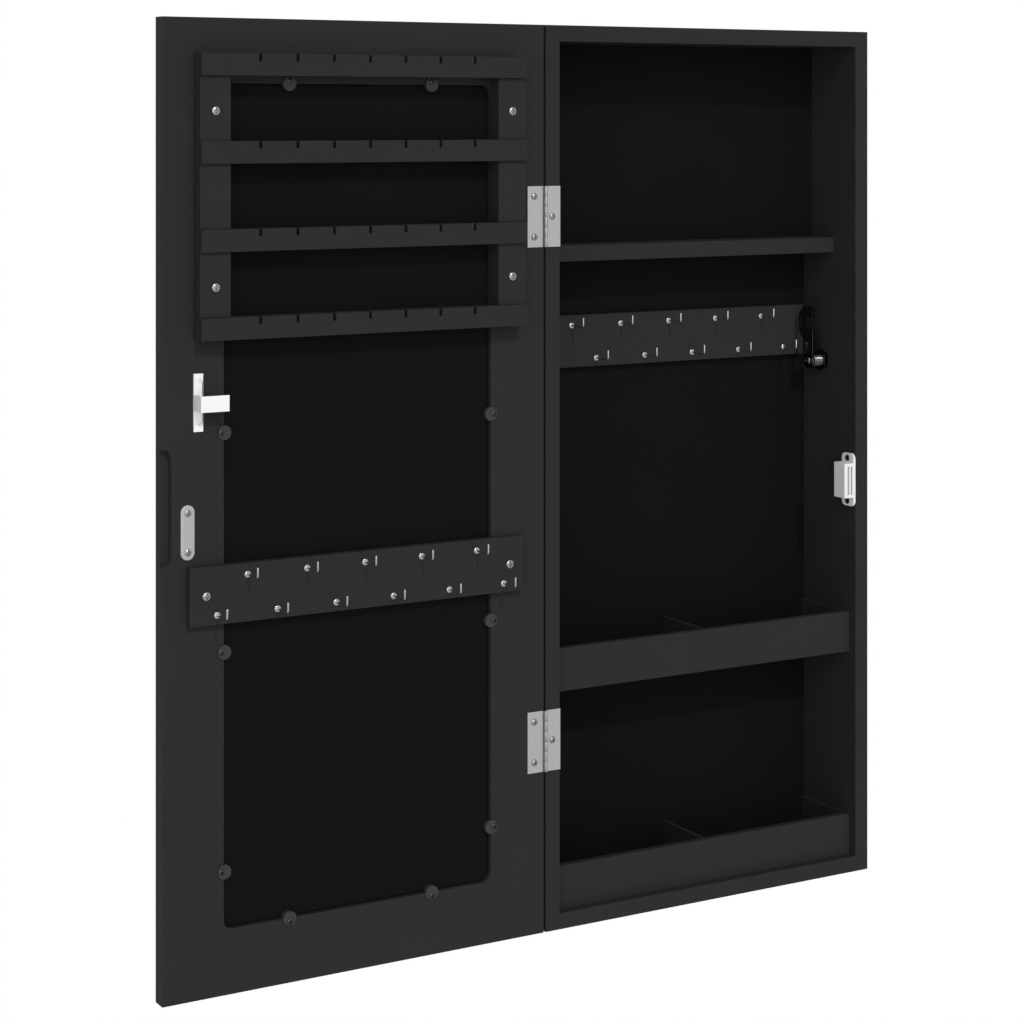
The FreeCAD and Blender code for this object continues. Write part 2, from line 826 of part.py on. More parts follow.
# ---- door ----
def window_plate(inset, radius, y, thickness):
    """A rounded plate with the window's outline, drawn in by an inset all round."""
    centre = V(door_middle, y, down(window_middle_drop))
    return rounded_plate(window_width - 2 * inset, window_height - 2 * inset, radius, centre, thickness)


def finger_pull():
    """The routed pull in the door's free edge: a slot with two round inner corners."""
    half = finger_pull_length / 2
    z = down(finger_pull_drop)
    radius = min(finger_pull_radius, 0.99 * finger_pull_width, 0.99 * half)
    outside = door_edge - overrun
    inside = door_edge + finger_pull_width
    k = radius * (1 - math.sqrt(0.5))
    lines = [V(outside, 0, z + half), V(outside, 0, z - half), V(inside - radius, 0, z - half),
             V(inside, 0, z - half + radius), V(inside, 0, z + half - radius),
             V(inside - radius, 0, z + half)]
    edges = [Part.LineSegment(lines[0], lines[1]).toShape(), Part.LineSegment(lines[1], lines[2]).toShape(),
             Part.Arc(lines[2], V(inside - k, 0, z - half + k), lines[3]).toShape(),
             Part.LineSegment(lines[3], lines[4]).toShape(),
             Part.Arc(lines[4], V(inside - k, 0, z + half - k), lines[5]).toShape(),
             Part.LineSegment(lines[5], lines[0]).toShape()]
    tool = Part.Face(Part.Wire(edges)).extrude(V(0, finger_pull_depth + overrun, 0))
    tool.translate(V(0, front - overrun, 0))
    return tool


def door_frame():
    board = block(door_edge, door_edge + cabinet_width, front, front + door_board, bottom, top)
    tools = [window_plate(0, rebate_corner_radius, front - overrun, door_board - lip_thickness + overrun)]
    tools.append(window_plate(lip_width, lip_corner_radius, front - overrun, door_board + 2 * overrun))
    tools.append(finger_pull())
    for kind, places in ((clip_screw, clip_screw_places()), (rack_screw, rack_screw_places()),
                         (hook_bar_screw, door_hook_bar_screw_places()),
                         (bracket_screw, bracket_screw_places()), (strike_screw, strike_screw_places())):
        tools += [screw_hole(kind, at, TOWARDS_FRONT) for at in places]
    for hinge in hinge_drops:
        tools += [screw_hole(hinge_screw, at, TOWARDS_FRONT) for at in hinge_door_screw_places(hinge)]
    return cut_all(board, tools)


def mirror_glass():
    y = front + door_board - lip_thickness - glass_thickness
    return window_plate(glass_fit, rebate_corner_radius - glass_fit, y, glass_thickness)


def mirror_backing():
    y = front + door_board - lip_thickness - glass_thickness - backing_thickness
    return window_plate(glass_fit, rebate_corner_radius - glass_fit, y, backing_thickness)


def mirror_clip(centre, step):
    """A disc on the frame whose inner half steps down onto the mirror's backing."""
    foot_depth = door_board - lip_thickness - glass_thickness - backing_thickness
    disc = rod(centre, TOWARDS_FRONT, clip_radius, clip_thickness)
    foot = rod(centre, TOWARDS_WALL, clip_radius, foot_depth)
    reach = 2 * clip_radius
    keep_from = centre - step * (clip_foot_fit + reach / 2)
    half = V(abs(step.x), 0, abs(step.z)) * (reach / 2) + V(abs(step.z), 0, abs(step.x)) * reach
    keep = block(keep_from.x - half.x, keep_from.x + half.x, centre.y, centre.y + foot_depth,
                 keep_from.z - half.z, keep_from.z + half.z)
    hole = screw_hole(clip_screw, centre + step * clip_screw_offset - V(0, clip_thickness, 0), TOWARDS_FRONT)
    return disc.fuse(foot.common(keep)).removeSplitter().cut(hole)


# ---- hinges ----
def hinge_leaf(hinge, side):
    """One leaf, rolled round the pin: side 1 sits on the cabinet, side -1 on the door."""
    z0 = down(hinge_drops[hinge]) - hinge_height / 2
    step = hinge_height / hinge_knuckle_count
    width = hinge_cabinet_leaf_width if side > 0 else hinge_door_leaf_width
    x0, x1 = sorted((hinge_x, hinge_x + side * width))
    leaf = block(x0, x1, front - hinge_leaf_thickness, front, z0, z0 + hinge_height)
    slit_x0, slit_x1 = sorted((hinge_x + side * hinge_pin_radius / 2, hinge_x + side * 2 * hinge_knuckle_radius))
    slit_y = front - hinge_leaf_thickness
    knuckles = []
    clearings = []
    slits = []
    for index in range(hinge_knuckle_count):
        low = V(hinge_x, hinge_y, z0 + index * step)
        own = (index % 2 == 0) == (side > 0)
        if own:
            start = low + V(0, 0, hinge_knuckle_gap / 2)
            knuckles.append(rod(start, V(0, 0, 1), hinge_knuckle_radius, step - hinge_knuckle_gap))
            slits.append(block(slit_x0, slit_x1, slit_y - hinge_roll_gap, slit_y, low.z, low.z + step))
        else:
            clearings.append(rod(low, V(0, 0, 1), hinge_knuckle_radius + hinge_knuckle_gap, step))
    bore = rod(V(hinge_x, hinge_y, z0 - overrun), V(0, 0, 1), hinge_pin_radius + hinge_pin_clearance,
               hinge_height + 2 * overrun)
    tools = clearings + slits + [bore]
    places = [hinge_cabinet_screw_place(hinge)] if side > 0 else hinge_door_screw_places(hinge)
    tools += [screw_hole(hinge_screw, at, TOWARDS_FRONT) for at in places]
    return cut_all(leaf.fuse(knuckles).removeSplitter(), tools)


def hinge_pin(hinge):
    z = down(hinge_drops[hinge])
    half = hinge_height / 2
    crown = hinge_pin_radius / 2
    profile = [(0.0, -half - crown), (hinge_pin_radius, -half), (hinge_pin_radius, half), (0.0, half + crown)]
    return turned(profile, V(hinge_x, hinge_y, z), V(0, 0, 1))


# ---- cam lock ----
def lock_point(reach):
    """A point on the lock's axis, reach millimetres to the right of the cabinet's middle."""
    return V(reach, lock_y, lock_z)


def lock_barrel():
    head_end = half_width + lock_head_thickness
    teeth = max(int(barrel_inner_length / thread_pitch), 1)
    outline = [(0.0, barrel_end)]
    for tooth in range(teeth):
        x = barrel_end + tooth * thread_pitch
        outline += [(barrel_radius - thread_depth, x), (barrel_radius, x + thread_pitch / 2)]
    outline += [(barrel_radius, half_width), (lock_head_radius, half_width),
                (lock_head_radius, head_end - lock_head_chamfer),
                (lock_head_radius - lock_head_chamfer, head_end), (0.0, head_end)]
    solid = turned(outline, lock_point(0), TOWARDS_RIGHT)
    bore = rod(lock_point(barrel_end - overrun), TOWARDS_RIGHT, plug_radius + plug_clearance,
               head_end - barrel_end + 2 * overrun)
    counterbore = rod(lock_point(head_end - plug_collar_thickness - plug_clearance), TOWARDS_RIGHT,
                      plug_collar_radius + 2 * plug_clearance, plug_collar_thickness + 2 * overrun)
    return cut_all(solid, [bore, counterbore])


def lock_plug():
    head_end = half_width + lock_head_thickness
    collar_start = head_end - plug_collar_thickness
    square_length = cam_thickness - plug_square_short
    body = rod(lock_point(cam_face), TOWARDS_RIGHT, plug_radius, head_end - cam_face)
    collar = rod(lock_point(collar_start), TOWARDS_RIGHT, plug_collar_radius, plug_collar_thickness)
    half = plug_square / 2
    square = block(cam_face - square_length, cam_face, lock_y - half, lock_y + half,
                   lock_z - half, lock_z + half)
    slot = block(head_end - key_slot_depth, head_end + overrun,
                 lock_y - key_slot_width / 2, lock_y + key_slot_width / 2,
                 lock_z - key_slot_length / 2, lock_z + key_slot_length / 2)
    screw_bore = rod(lock_point(cam_face - cam_thickness - overrun), TOWARDS_RIGHT,
                     cam_bolt.shank + screw_clearance, cam_bolt.length + overrun + screw_clearance)
    return cut_all(body.fuse([collar, square]).removeSplitter(), [slot, screw_bore])


def lock_cam():
    """The hook cam, drawn pointing up; its notch opens to the front."""
    x = cam_face - cam_thickness

    def at(ahead, radius):
        return V(x, lock_y - ahead, lock_z + radius)

    tip = cam_length
    outline = [at(cam_shaft_front, 0), at(cam_shaft_front, notch_inner_radius),
               at(-notch_root, notch_inner_radius), at(-notch_root, notch_outer_radius),
               at(cam_shaft_front, notch_outer_radius), at(cam_shaft_front, tip - cam_tip_chamfer),
               at(cam_shaft_front - cam_tip_chamfer, tip),
               at(-cam_head_back / 2, tip), at(-cam_head_back, tip - cam_head_back / 2),
               at(-cam_head_back, notch_inner_radius - cam_head_slope), at(-cam_shaft_back, cam_head_start),
               at(-cam_shaft_back, 0)]
    plate = polygon_prism(outline, V(cam_thickness, 0, 0))
    hub = rod(lock_point(x), TOWARDS_RIGHT, cam_hub_radius, cam_thickness)
    half = plug_square / 2 + plug_clearance
    hole = block(x - overrun, x + cam_thickness + overrun, lock_y - half, lock_y + half,
                 lock_z - half, lock_z + half)
    return plate.fuse(hub).removeSplitter().cut(hole)


def lock_nut():
    radius = nut_flats / 2 / math.cos(math.pi / 6)
    x = inner_half - nut_thickness
    angles = [math.radians(60 * i) for i in range(6)]
    points = [V(x, lock_y + radius * math.sin(a), lock_z + radius * math.cos(a)) for a in angles]
    hexagon = polygon_prism(points, V(nut_thickness, 0, 0))
    bore = rod(lock_point(x - overrun), TOWARDS_RIGHT, barrel_radius + barrel_clearance,
               nut_thickness + 2 * overrun)
    return hexagon.cut(bore)


def lock_bracket():
    """Base strip, stand-off web and an arm that the cam hooks over."""
    x0 = door_edge + bracket_inset
    z = down(bracket_drop)
    half_strip = bracket_strip_height / 2
    half_arm = bracket_arm_height / 2
    y_strip = front - bracket_metal
    y_arm = front - bracket_stand_off
    strip = block(x0, x0 + bracket_strip_width, y_strip, front, z - half_strip, z + half_strip)
    web = block(x0, x0 + bracket_metal, y_arm, front, z - half_arm, z + half_arm)
    arm = block(x0, x0 + bracket_arm_reach, y_arm, y_arm + bracket_metal, z - half_arm, z + half_arm)
    solid = strip.fuse([web, arm]).removeSplitter()
    return cut_all(solid, [screw_hole(bracket_screw, at, TOWARDS_FRONT) for at in bracket_screw_places()])


# ---- magnetic catch ----
def catch_middle_x():
    return inner_half - magnet_wall_offset


def pole_offset():
    return (magnet_thickness + pole_thickness) / 2


def catch_housing():
    """Flange and body, with a magnet chamber behind a front wall that the poles pass through."""
    z = down(catch_drop)
    flange = rounded_plate(flange_depth, flange_height, flange_corner_radius, V(0, 0, 0), flange_thickness)
    flange.Placement = FreeCAD.Placement(V(inner_half, front + flange_depth / 2, z),
                                         FreeCAD.Rotation(V(0, 0, 1), 90))
    x0 = inner_half - catch_body_reach
    half_body = catch_body_height / 2
    body = block(x0, inner_half, front, front + catch_body_depth, z - half_body, z + half_body)
    middle_x = x0 + catch_body_reach / 2
    upright = [edge for edge in body.Edges
               if abs(edge.tangentAt(edge.FirstParameter).z) > 0.9 and edge.CenterOfMass.x < middle_x]
    body = body.makeFillet(catch_corner_radius, upright)
    half_x = magnet_thickness / 2 + pole_thickness + catch_fit
    half_z = pole_height / 2 + catch_fit
    magnet_front = front + pole_depth - magnet_depth - catch_fit
    tools = [block(catch_middle_x() - half_x, catch_middle_x() + half_x, magnet_front,
                   front + pole_depth + catch_fit, z - half_z, z + half_z)]
    for side in (-1, 1):
        middle = catch_middle_x() + side * pole_offset()
        half_slot = pole_thickness / 2 + catch_fit
        tools.append(block(middle - half_slot, middle + half_slot, front - overrun, magnet_front + overrun,
                           z - half_z, z + half_z))
    tools += [screw_hole(catch_screw, at, TOWARDS_LEFT) for at in catch_screw_places()]
    return cut_all(flange.fuse(body).removeSplitter(), tools)


def catch_magnet():
    z = down(catch_drop)
    half_x = magnet_thickness / 2
    half_z = magnet_height / 2
    y1 = front + pole_depth
    return block(catch_middle_x() - half_x, catch_middle_x() + half_x, y1 - magnet_depth, y1,
                 z - half_z, z + half_z)


def catch_pole(side):
    z = down(catch_drop)
    middle = catch_middle_x() + side * pole_offset()
    half_z = pole_height / 2
    return block(middle - pole_thickness / 2, middle + pole_thickness / 2, front - pole_stand_proud,
                 front + pole_depth, z - half_z, z + half_z)


def strike_plate():
    centre = V(door_edge + strike_inset, front - strike_thickness, down(strike_drop))
    plate = rounded_plate(strike_width, strike_height, strike_width / 2, centre, strike_thickness)
    return cut_all(plate, [screw_hole(strike_screw, at, TOWARDS_FRONT) for at in strike_screw_places()])


# ---- write the nodes ----
def write_cabinet():
    write("left_side_panel", side_panel(-1))
    write("right_side_panel", side_panel(1))
    write("top_panel", end_panel(1))
    write("bottom_panel", end_panel(-1))
    write("back_panel", back_panel())
    write("hanging_board", hanging_panel())
    write("shelf", shelf())
    write("upper_tray_base", tray_base())
    write("upper_tray_front", tray_front(upper_tray_drop))
    write("upper_tray_dividers", tray_dividers(upper_tray_drop, tray_front_height - tray_base_board))
    write("lower_tray_front", tray_front(lower_tray_drop))
    write("lower_tray_dividers", tray_dividers(lower_tray_drop, tray_front_height))
    write("carcass_dowels", [dowel(place) for place in carcass_dowel_places()])
    write("shelf_dowels", [dowel(place) for place in shelf_dowel_places()])
    write("back_panel_nails", [nail(at) for at in nail_places()])
    write("hanger_plates", [hanger_plate(x) for x in spread(2, hanger_spacing)])
    write("hanger_screws", [screw(hanger_screw, at, TOWARDS_WALL) for at in hanger_screw_places()])
    write("cabinet_hook_bar", cabinet_hook_bar())
    write("cabinet_hook_bar_screws", [screw(rear_screw, at, TOWARDS_WALL) for at in rear_screw_places()])
    write("cabinet_hooks", [hook(at) for at in cabinet_hook_places()])
    write("catch_housing", catch_housing())
    write("catch_magnet", catch_magnet())
    write("catch_pole_plates", [catch_pole(side) for side in (-1, 1)])
    write("catch_screws", [screw(catch_screw, at, TOWARDS_LEFT) for at in catch_screw_places()])


def write_lock():
    write("lock_barrel", lock_barrel())
    write("lock_nut", lock_nut())
    write("lock_plug", lock_plug())
    write("lock_cam", lock_cam())
    write("lock_cam_screw", screw(cam_bolt, lock_point(cam_face - cam_thickness), TOWARDS_LEFT))


def write_hinges():
    for hinge in hinge_drops:
        write(hinge + "_hinge_cabinet_leaf", hinge_leaf(hinge, 1))
        write(hinge + "_hinge_door_leaf", hinge_leaf(hinge, -1))
        write(hinge + "_hinge_pin", hinge_pin(hinge))
    door_screws = [at for hinge in hinge_drops for at in hinge_door_screw_places(hinge)]
    cabinet_screws = [hinge_cabinet_screw_place(hinge) for hinge in hinge_drops]
    write("hinge_door_screws", [screw(hinge_screw, at, TOWARDS_FRONT) for at in door_screws])
    write("hinge_cabinet_screws", [screw(hinge_screw, at, TOWARDS_FRONT) for at in cabinet_screws])


def write_door():
    write("door_frame", door_frame())
    write("mirror_glass", mirror_glass())
    write("mirror_backing", mirror_backing())
    write("mirror_clips", [mirror_clip(centre, step) for centre, step in clip_places()])
    write("mirror_clip_screws", [screw(clip_screw, at, TOWARDS_FRONT) for at in clip_screw_places()])
    write("rack_left_stile", rack_stile(-1))
    write("rack_right_stile", rack_stile(1))
    for number, drop in enumerate(rail_drops(), 1):
        write("rack_rail_" + str(number), rack_rail(drop))
    write("rack_screws", [screw(rack_screw, at, TOWARDS_FRONT) for at in rack_screw_places()])
    write("door_hook_bar", door_hook_bar())
    write("door_hook_bar_screws",
          [screw(hook_bar_screw, at, TOWARDS_FRONT) for at in door_hook_bar_screw_places()])
    write("door_hooks", [hook(at) for at in door_hook_places()])
    write("lock_bracket", lock_bracket())
    write("lock_bracket_screws", [screw(bracket_screw, at, TOWARDS_FRONT) for at in bracket_screw_places()])
    write("strike_plate", strike_plate())
    write("strike_plate_screws", [screw(strike_screw, at, TOWARDS_FRONT) for at in strike_screw_places()])


os.makedirs("parts", exist_ok=True)
write_cabinet()
write_lock()
write_hinges()
write_door()
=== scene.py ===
import json
import math

import bmesh
import bpy
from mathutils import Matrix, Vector


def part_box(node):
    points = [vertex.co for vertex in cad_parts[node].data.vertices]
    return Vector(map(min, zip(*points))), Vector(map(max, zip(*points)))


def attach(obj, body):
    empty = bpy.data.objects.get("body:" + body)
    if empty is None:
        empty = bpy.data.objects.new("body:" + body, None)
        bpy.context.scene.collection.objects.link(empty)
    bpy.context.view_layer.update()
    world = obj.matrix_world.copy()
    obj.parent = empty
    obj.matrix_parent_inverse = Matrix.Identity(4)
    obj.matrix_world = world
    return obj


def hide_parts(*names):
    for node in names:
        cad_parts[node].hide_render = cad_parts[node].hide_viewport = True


# A wall-hung jewelry cabinet in matt black, its mirror door laid open beside it.
# Everything is in metres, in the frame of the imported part: +Z up, the front faces -Y.

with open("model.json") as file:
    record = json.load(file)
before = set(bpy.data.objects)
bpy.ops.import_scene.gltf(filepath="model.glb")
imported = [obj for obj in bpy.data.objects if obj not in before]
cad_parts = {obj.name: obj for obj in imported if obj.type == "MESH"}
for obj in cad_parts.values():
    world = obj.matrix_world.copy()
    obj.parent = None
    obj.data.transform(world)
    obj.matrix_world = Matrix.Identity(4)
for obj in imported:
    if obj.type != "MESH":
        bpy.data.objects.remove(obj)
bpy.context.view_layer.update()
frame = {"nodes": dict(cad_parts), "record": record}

MM = 0.001

# ---- camera ----
CAMERA_AT = Vector((-1062.05, -1596.89, -28.62)) * MM
CAMERA_YAW = math.radians(30.0488)
PICTURE = 1024
FOCAL_PIXELS = 2408.27
HORIZON_ROW = 117.77
SENSOR = 36.0
NEAREST_SEEN = 10 * MM

# ---- wire hooks ----
HOOK_WIRE = 0.75 * MM
HOOK_BEND = 2.0 * MM
HOOK_REACH = 18.0 * MM
HOOK_SEAT_RIM = 0.3 * MM
HOOK_SEAT_RISE = 1.0 * MM
WIRE_SIDES = 20
SEAT_SIDES = 40
BEND_STEPS = 8
TIP_STEPS = 8
DOME_STEPS = 7

# ---- spacing of the painted groove shade down the sides of the catch ----
GRIP_RIB = 2.1 * MM
SQUARE_ON = 0.9

# ---- strike plate ----
STRIKE_ROUND = 0.7 * MM
STRIKE_HOLE = 1.35 * MM
ROUND_STEPS = 5
END_SIDES = 32

# ---- studio: each lamp is (where it shines from, its spread in degrees, its strength) ----
ROOM_LIGHT = 0.32
KEY_LIGHT = ((-0.054, -0.775, 0.629), 4, 1.00)
SOFT_LIGHT = ((-0.50, -0.86, 0.10), 80, 1.58)
REAR_LIGHT = ((0.45, 0.75, 0.50), 40, 1.20)
WHITE = 1.0
FLOOR_TONE = 0.85
FLOOR_ROUGHNESS = 0.8
FLOOR_MIDDLE = -0.15
FLOOR_DROP = 1.30
FLOOR_SIZE = 12.0
FLOOR_FADE_START = 0.7
FLOOR_FADE_END = 1.3

# ---- edges ----
BOARD_EDGE = 0.35 * MM
THIN_EDGE = 0.2 * MM
PLATE_EDGE = 0.15 * MM
FINE_EDGE = 0.05 * MM
EDGE_SEGMENTS = 2
SHARP_ANGLE = math.radians(30)
WELD_REACH = 0.002 * MM
SAME_POINT = 0.001 * MM
ROW_DIGITS = 5

# ---- the darkest and the lightest colour of each finish ----
TONES = {
    "black_paint": ((0.0248, 0.0248, 0.0252), (0.0302, 0.0302, 0.0306)),
    "black_hardboard": ((0.0051, 0.0051, 0.0052), (0.0080, 0.0080, 0.0081)),
    "smoke_plastic": ((0.0255, 0.0255, 0.026), (0.0335, 0.0335, 0.034)),
    "white_plastic": ((0.71, 0.71, 0.705), (0.86, 0.86, 0.855)),
    "white_coated_steel": ((0.86, 0.86, 0.86), (0.91, 0.91, 0.91)),
    "ferrite": ((0.07, 0.07, 0.072), (0.15, 0.15, 0.155)),
    "beech": ((0.50, 0.34, 0.19), (0.68, 0.51, 0.32)),
    "plated_steel": ((0.22, 0.22, 0.221), (0.44, 0.44, 0.442)),
    "chrome": ((0.29, 0.29, 0.292), (0.38, 0.38, 0.382)),
    "lock_nickel": ((0.075, 0.075, 0.073), (0.13, 0.13, 0.127)),
    "screw_steel": ((0.22, 0.22, 0.221), (0.32, 0.32, 0.321)),
    "dark_steel": ((0.034, 0.034, 0.035), (0.056, 0.056, 0.057)),
}
MIRROR_FACE = (0.90, 0.915, 0.91)
MIRROR_EDGE = (0.20, 0.36, 0.31)


# ---------------------------------------------------------------- finishes
class Field:
    """A value that varies over a surface: a node's output with Python's operators."""

    def __init__(self, finish, socket):
        self.finish = finish
        self.socket = socket

    def math(self, operation, first, second=0.0):
        return self.finish.node("ShaderNodeMath", {"operation": operation}, {0: first, 1: second})

    def __add__(self, other):
        return self.math("ADD", self, other)

    __radd__ = __add__

    def __sub__(self, other):
        return self.math("SUBTRACT", self, other)

    def __rsub__(self, other):
        return self.math("SUBTRACT", other, self)

    def __mul__(self, other):
        return self.math("MULTIPLY", self, other)

    __rmul__ = __mul__

    def __gt__(self, other):
        return self.math("GREATER_THAN", self, other)

    def size(self):
        """The value without its sign."""
        return self.math("ABSOLUTE", self)

    def sine(self):
        return self.math("SINE", self)

    def part(self, axis):
        """One axis of a vector."""
        return self.finish.node("ShaderNodeSeparateXYZ", {}, {0: self}, output=axis)


class Finish:
    """One material of the cabinet, made from nodes."""

    def __init__(self, name, **constants):
        self.name = name
        self.material = bpy.data.materials.new(name)
        self.material.use_nodes = True
        self.tree = self.material.node_tree
        self.shader = self.tree.nodes["Principled BSDF"]
        for socket, value in constants.items():
            self.shader.inputs[socket.replace("_", " ")].default_value = value

    def node(self, kind, settings=None, inputs=None, output=0):
        """Adds a node: its settings first, then the values or links of its sockets."""
        made = self.tree.nodes.new(kind)
        for key, value in (settings or {}).items():
            setattr(made, key, value)
        for key, value in (inputs or {}).items():
            self.feed(made.inputs[key], value)
        return Field(self, made.outputs[output])

    def feed(self, socket, value):
        if isinstance(value, Field):
            self.tree.links.new(value.socket, socket)
        else:
            socket.default_value = value

    def set(self, **inputs):
        for socket, value in inputs.items():
            self.feed(self.shader.inputs[socket.replace("_", " ")], value)

    def place(self, scale=(1, 1, 1)):
        """Positions on the piece, in metres, stretched along each axis."""
        coordinates = self.node("ShaderNodeTexCoord", output="Object")
        return self.node("ShaderNodeMapping", {}, {"Vector": coordinates, "Scale": scale})

    def noise(self, grain, detail=2.0, roughness=0.5, stretch=(1, 1, 1)):
        """Cloudy noise between 0 and 1 whose grain is given in metres."""
        place = self.place(stretch)
        inputs = {"Vector": place, "Scale": 1 / grain, "Detail": detail, "Roughness": roughness}
        return self.node("ShaderNodeTexNoise", {}, inputs)

    def between(self, amount, low, high):
        """A colour between two others."""
        inputs = {"Factor": amount, 6: (*low, 1), 7: (*high, 1)}
        return self.node("ShaderNodeMix", {"data_type": "RGBA"}, inputs, output=2)

    def tint(self, amount):
        """Colours the finish between its darkest and its lightest tone."""
        self.set(Base_Color=self.between(amount, *TONES[self.name]))

    def facing(self, axis):
        """How squarely a surface faces along one of the piece's own axes, 0 to 1."""
        return self.node("ShaderNodeTexCoord", output="Normal").part(axis).size()

    def ramp(self, amount, low, high):
        """A field squeezed to 0..1 between two levels."""
        inputs = {"Value": amount, "From Min": low, "From Max": high}
        return self.node("ShaderNodeMapRange", {"clamp": True}, inputs)

    def relief(self, height, depth, strength):
        """Small relief of a real depth in metres."""
        inputs = {"Height": height, "Distance": depth, "Strength": strength}
        self.set(Normal=self.node("ShaderNodeBump", {}, inputs))


def black_paint():
    """Matt black paint on fibreboard: a faint orange peel, a few dust specks and an uneven sheen."""
    finish = Finish("black_paint", Specular_IOR_Level=0.014)
    cloud = finish.noise(60 * MM, detail=4.0, roughness=0.6)
    peel = finish.noise(1.6 * MM, detail=1.0)
    dust = finish.ramp(finish.noise(0.4 * MM, detail=0.0), 0.72, 0.80)
    finish.tint(cloud * 0.7 + peel * 0.2 + dust * 0.1)
    finish.set(Roughness=0.40 + cloud * 0.10 + peel * 0.06)
    finish.relief(peel, 0.03 * MM, 0.5)
    return finish.material


def black_hardboard():
    """Thin matt black hardboard with a felted fibre grain."""
    finish = Finish("black_hardboard", Specular_IOR_Level=0.02)
    fibre = finish.noise(1.1 * MM, detail=5.0, roughness=0.7, stretch=(1, 1, 0.35))
    cloud = finish.noise(80 * MM, detail=3.0)
    finish.tint(fibre * 0.5 + cloud * 0.5)
    finish.set(Roughness=0.58 + fibre * 0.18)
    finish.relief(fibre, 0.05 * MM, 0.5)
    return finish.material


def mirror_silver():
    """Silvered glass seen from its polished face, with a green tint in its ground edges."""
    finish = Finish("mirror_silver", Metallic=1.0)
    edge = finish.ramp(1 - finish.facing("Y"), 0.3, 0.6)
    haze = finish.noise(50 * MM, detail=3.0)
    finish.set(Base_Color=finish.between(edge, MIRROR_FACE, MIRROR_EDGE))
    finish.set(Roughness=0.015 + haze * 0.012 + edge * 0.25)
    return finish.material


def smoke_plastic():
    """Smoke-grey moulded clips with a soft gloss."""
    finish = Finish("smoke_plastic", Specular_IOR_Level=0.25)
    swirl = finish.noise(3 * MM)
    finish.tint(swirl)
    finish.set(Roughness=0.30 + swirl * 0.10)
    finish.relief(finish.noise(0.9 * MM), 0.02 * MM, 0.4)
    return finish.material


def white_plastic():
    """White moulded housing with a fine spark-eroded texture and painted groove shade: darker stripes
    down its sides.
    """
    finish = Finish("white_plastic", Specular_IOR_Level=0.4)
    texture = finish.noise(0.5 * MM)
    cloud = finish.noise(12 * MM)
    wave = (finish.place().part("Y") * (2 * math.pi / GRIP_RIB)).sine()
    # painted shade of grooves: darker stripes on the faces that are turned along X
    groove_shade = finish.ramp(wave, 0.0, 1.0) * (finish.facing("X") > SQUARE_ON)
    finish.tint(cloud * 0.45 + 0.55 - groove_shade * 0.5)
    finish.set(Roughness=0.40 + texture * 0.12)
    finish.relief(texture, 0.02 * MM, 0.4)
    return finish.material


def white_coated_steel():
    """Pressed sheet steel with a thin white powder coat."""
    finish = Finish("white_coated_steel", Specular_IOR_Level=0.4)
    peel = finish.noise(1 * MM)
    finish.tint(finish.noise(10 * MM, detail=3.0))
    finish.set(Roughness=0.34 + peel * 0.14)
    finish.relief(peel, 0.03 * MM, 0.5)
    return finish.material


def ferrite():
    """Sintered magnet: dark, grainy and dull."""
    finish = Finish("ferrite", Specular_IOR_Level=0.4)
    grain = finish.noise(0.4 * MM, detail=4.0, roughness=0.7)
    finish.tint(grain)
    finish.set(Roughness=0.55 + grain * 0.25)
    finish.relief(grain, 0.05 * MM, 0.6)
    return finish.material


def beech():
    """Raw beech dowel with its grain along the dowel."""
    finish = Finish("beech", Specular_IOR_Level=0.3)
    grain = finish.noise(1 * MM, detail=4.0, roughness=0.6, stretch=(0.08, 1, 1))
    finish.tint(grain)
    finish.set(Roughness=0.55 + grain * 0.2)
    finish.relief(grain, 0.06 * MM, 0.5)
    return finish.material


def plated_steel():
    """Bright-plated sheet whose flat faces keep their polish; faces turned away from the front are
    rougher and carry painted shade that darkens them.
    """
    finish = Finish("plated_steel", Metallic=1.0)
    drift = finish.noise(0.6 * MM, detail=3.0, roughness=0.6, stretch=(1, 1, 0.06))
    # painted shade: faces turned away from the front get a darker tone, and are also made rougher
    side_shade_mask = finish.ramp(1 - finish.facing("Y"), 0.01, 0.10)
    finish.tint(drift * 0.3 + 0.7 - side_shade_mask * 0.7)
    finish.set(Roughness=0.32 + drift * 0.12 + side_shade_mask * 0.20)
    finish.relief(drift, 0.01 * MM, 0.25)
    return finish.material


def metal(name, roughness, spread, grain, metallic=1.0):
    """A plated metal whose tone and polish drift a little along a grain."""
    finish = Finish(name, Metallic=metallic)
    drift = finish.noise(grain, detail=3.0, roughness=0.6)
    finish.tint(drift)
    finish.set(Roughness=roughness + drift * spread)
    finish.relief(drift, 0.01 * MM, 0.25)
    return finish.material


def chrome():
    """Bright wire, a little less than pure metal, so that its shaded run stays off black."""
    return metal("chrome", roughness=0.14, spread=0.08, grain=4 * MM, metallic=0.88)


def lock_nickel():
    return metal("lock_nickel", roughness=0.10, spread=0.08, grain=3 * MM)


def screw_steel():
    return metal("screw_steel", roughness=0.17, spread=0.10, grain=1.2 * MM)


def dark_steel():
    return metal("dark_steel", roughness=0.28, spread=0.14, grain=1.2 * MM)


FINISHES = {
    "painted_board": black_paint, "thin_board": black_hardboard, "mirror": mirror_silver,
    "clip_plastic": smoke_plastic, "white_plastic": white_plastic, "white_metal": white_coated_steel,
    "magnet": ferrite, "dowel_wood": beech, "chrome": chrome, "plated_steel": plated_steel,
    "screw_steel": screw_steel, "dark_screw": dark_steel, "lock_metal": lock_nickel,
}


# ---------------------------------------------------------------- the frame's own nodes
def dress_nodes(finishes):
    """Gives every node of the frame the finish that the record names for it."""
    for row in frame["record"]["subparts"]:
        mesh = frame["nodes"][row["node"]].data
        mesh.materials.clear()
        mesh.materials.append(finishes[row["material_slot"]])


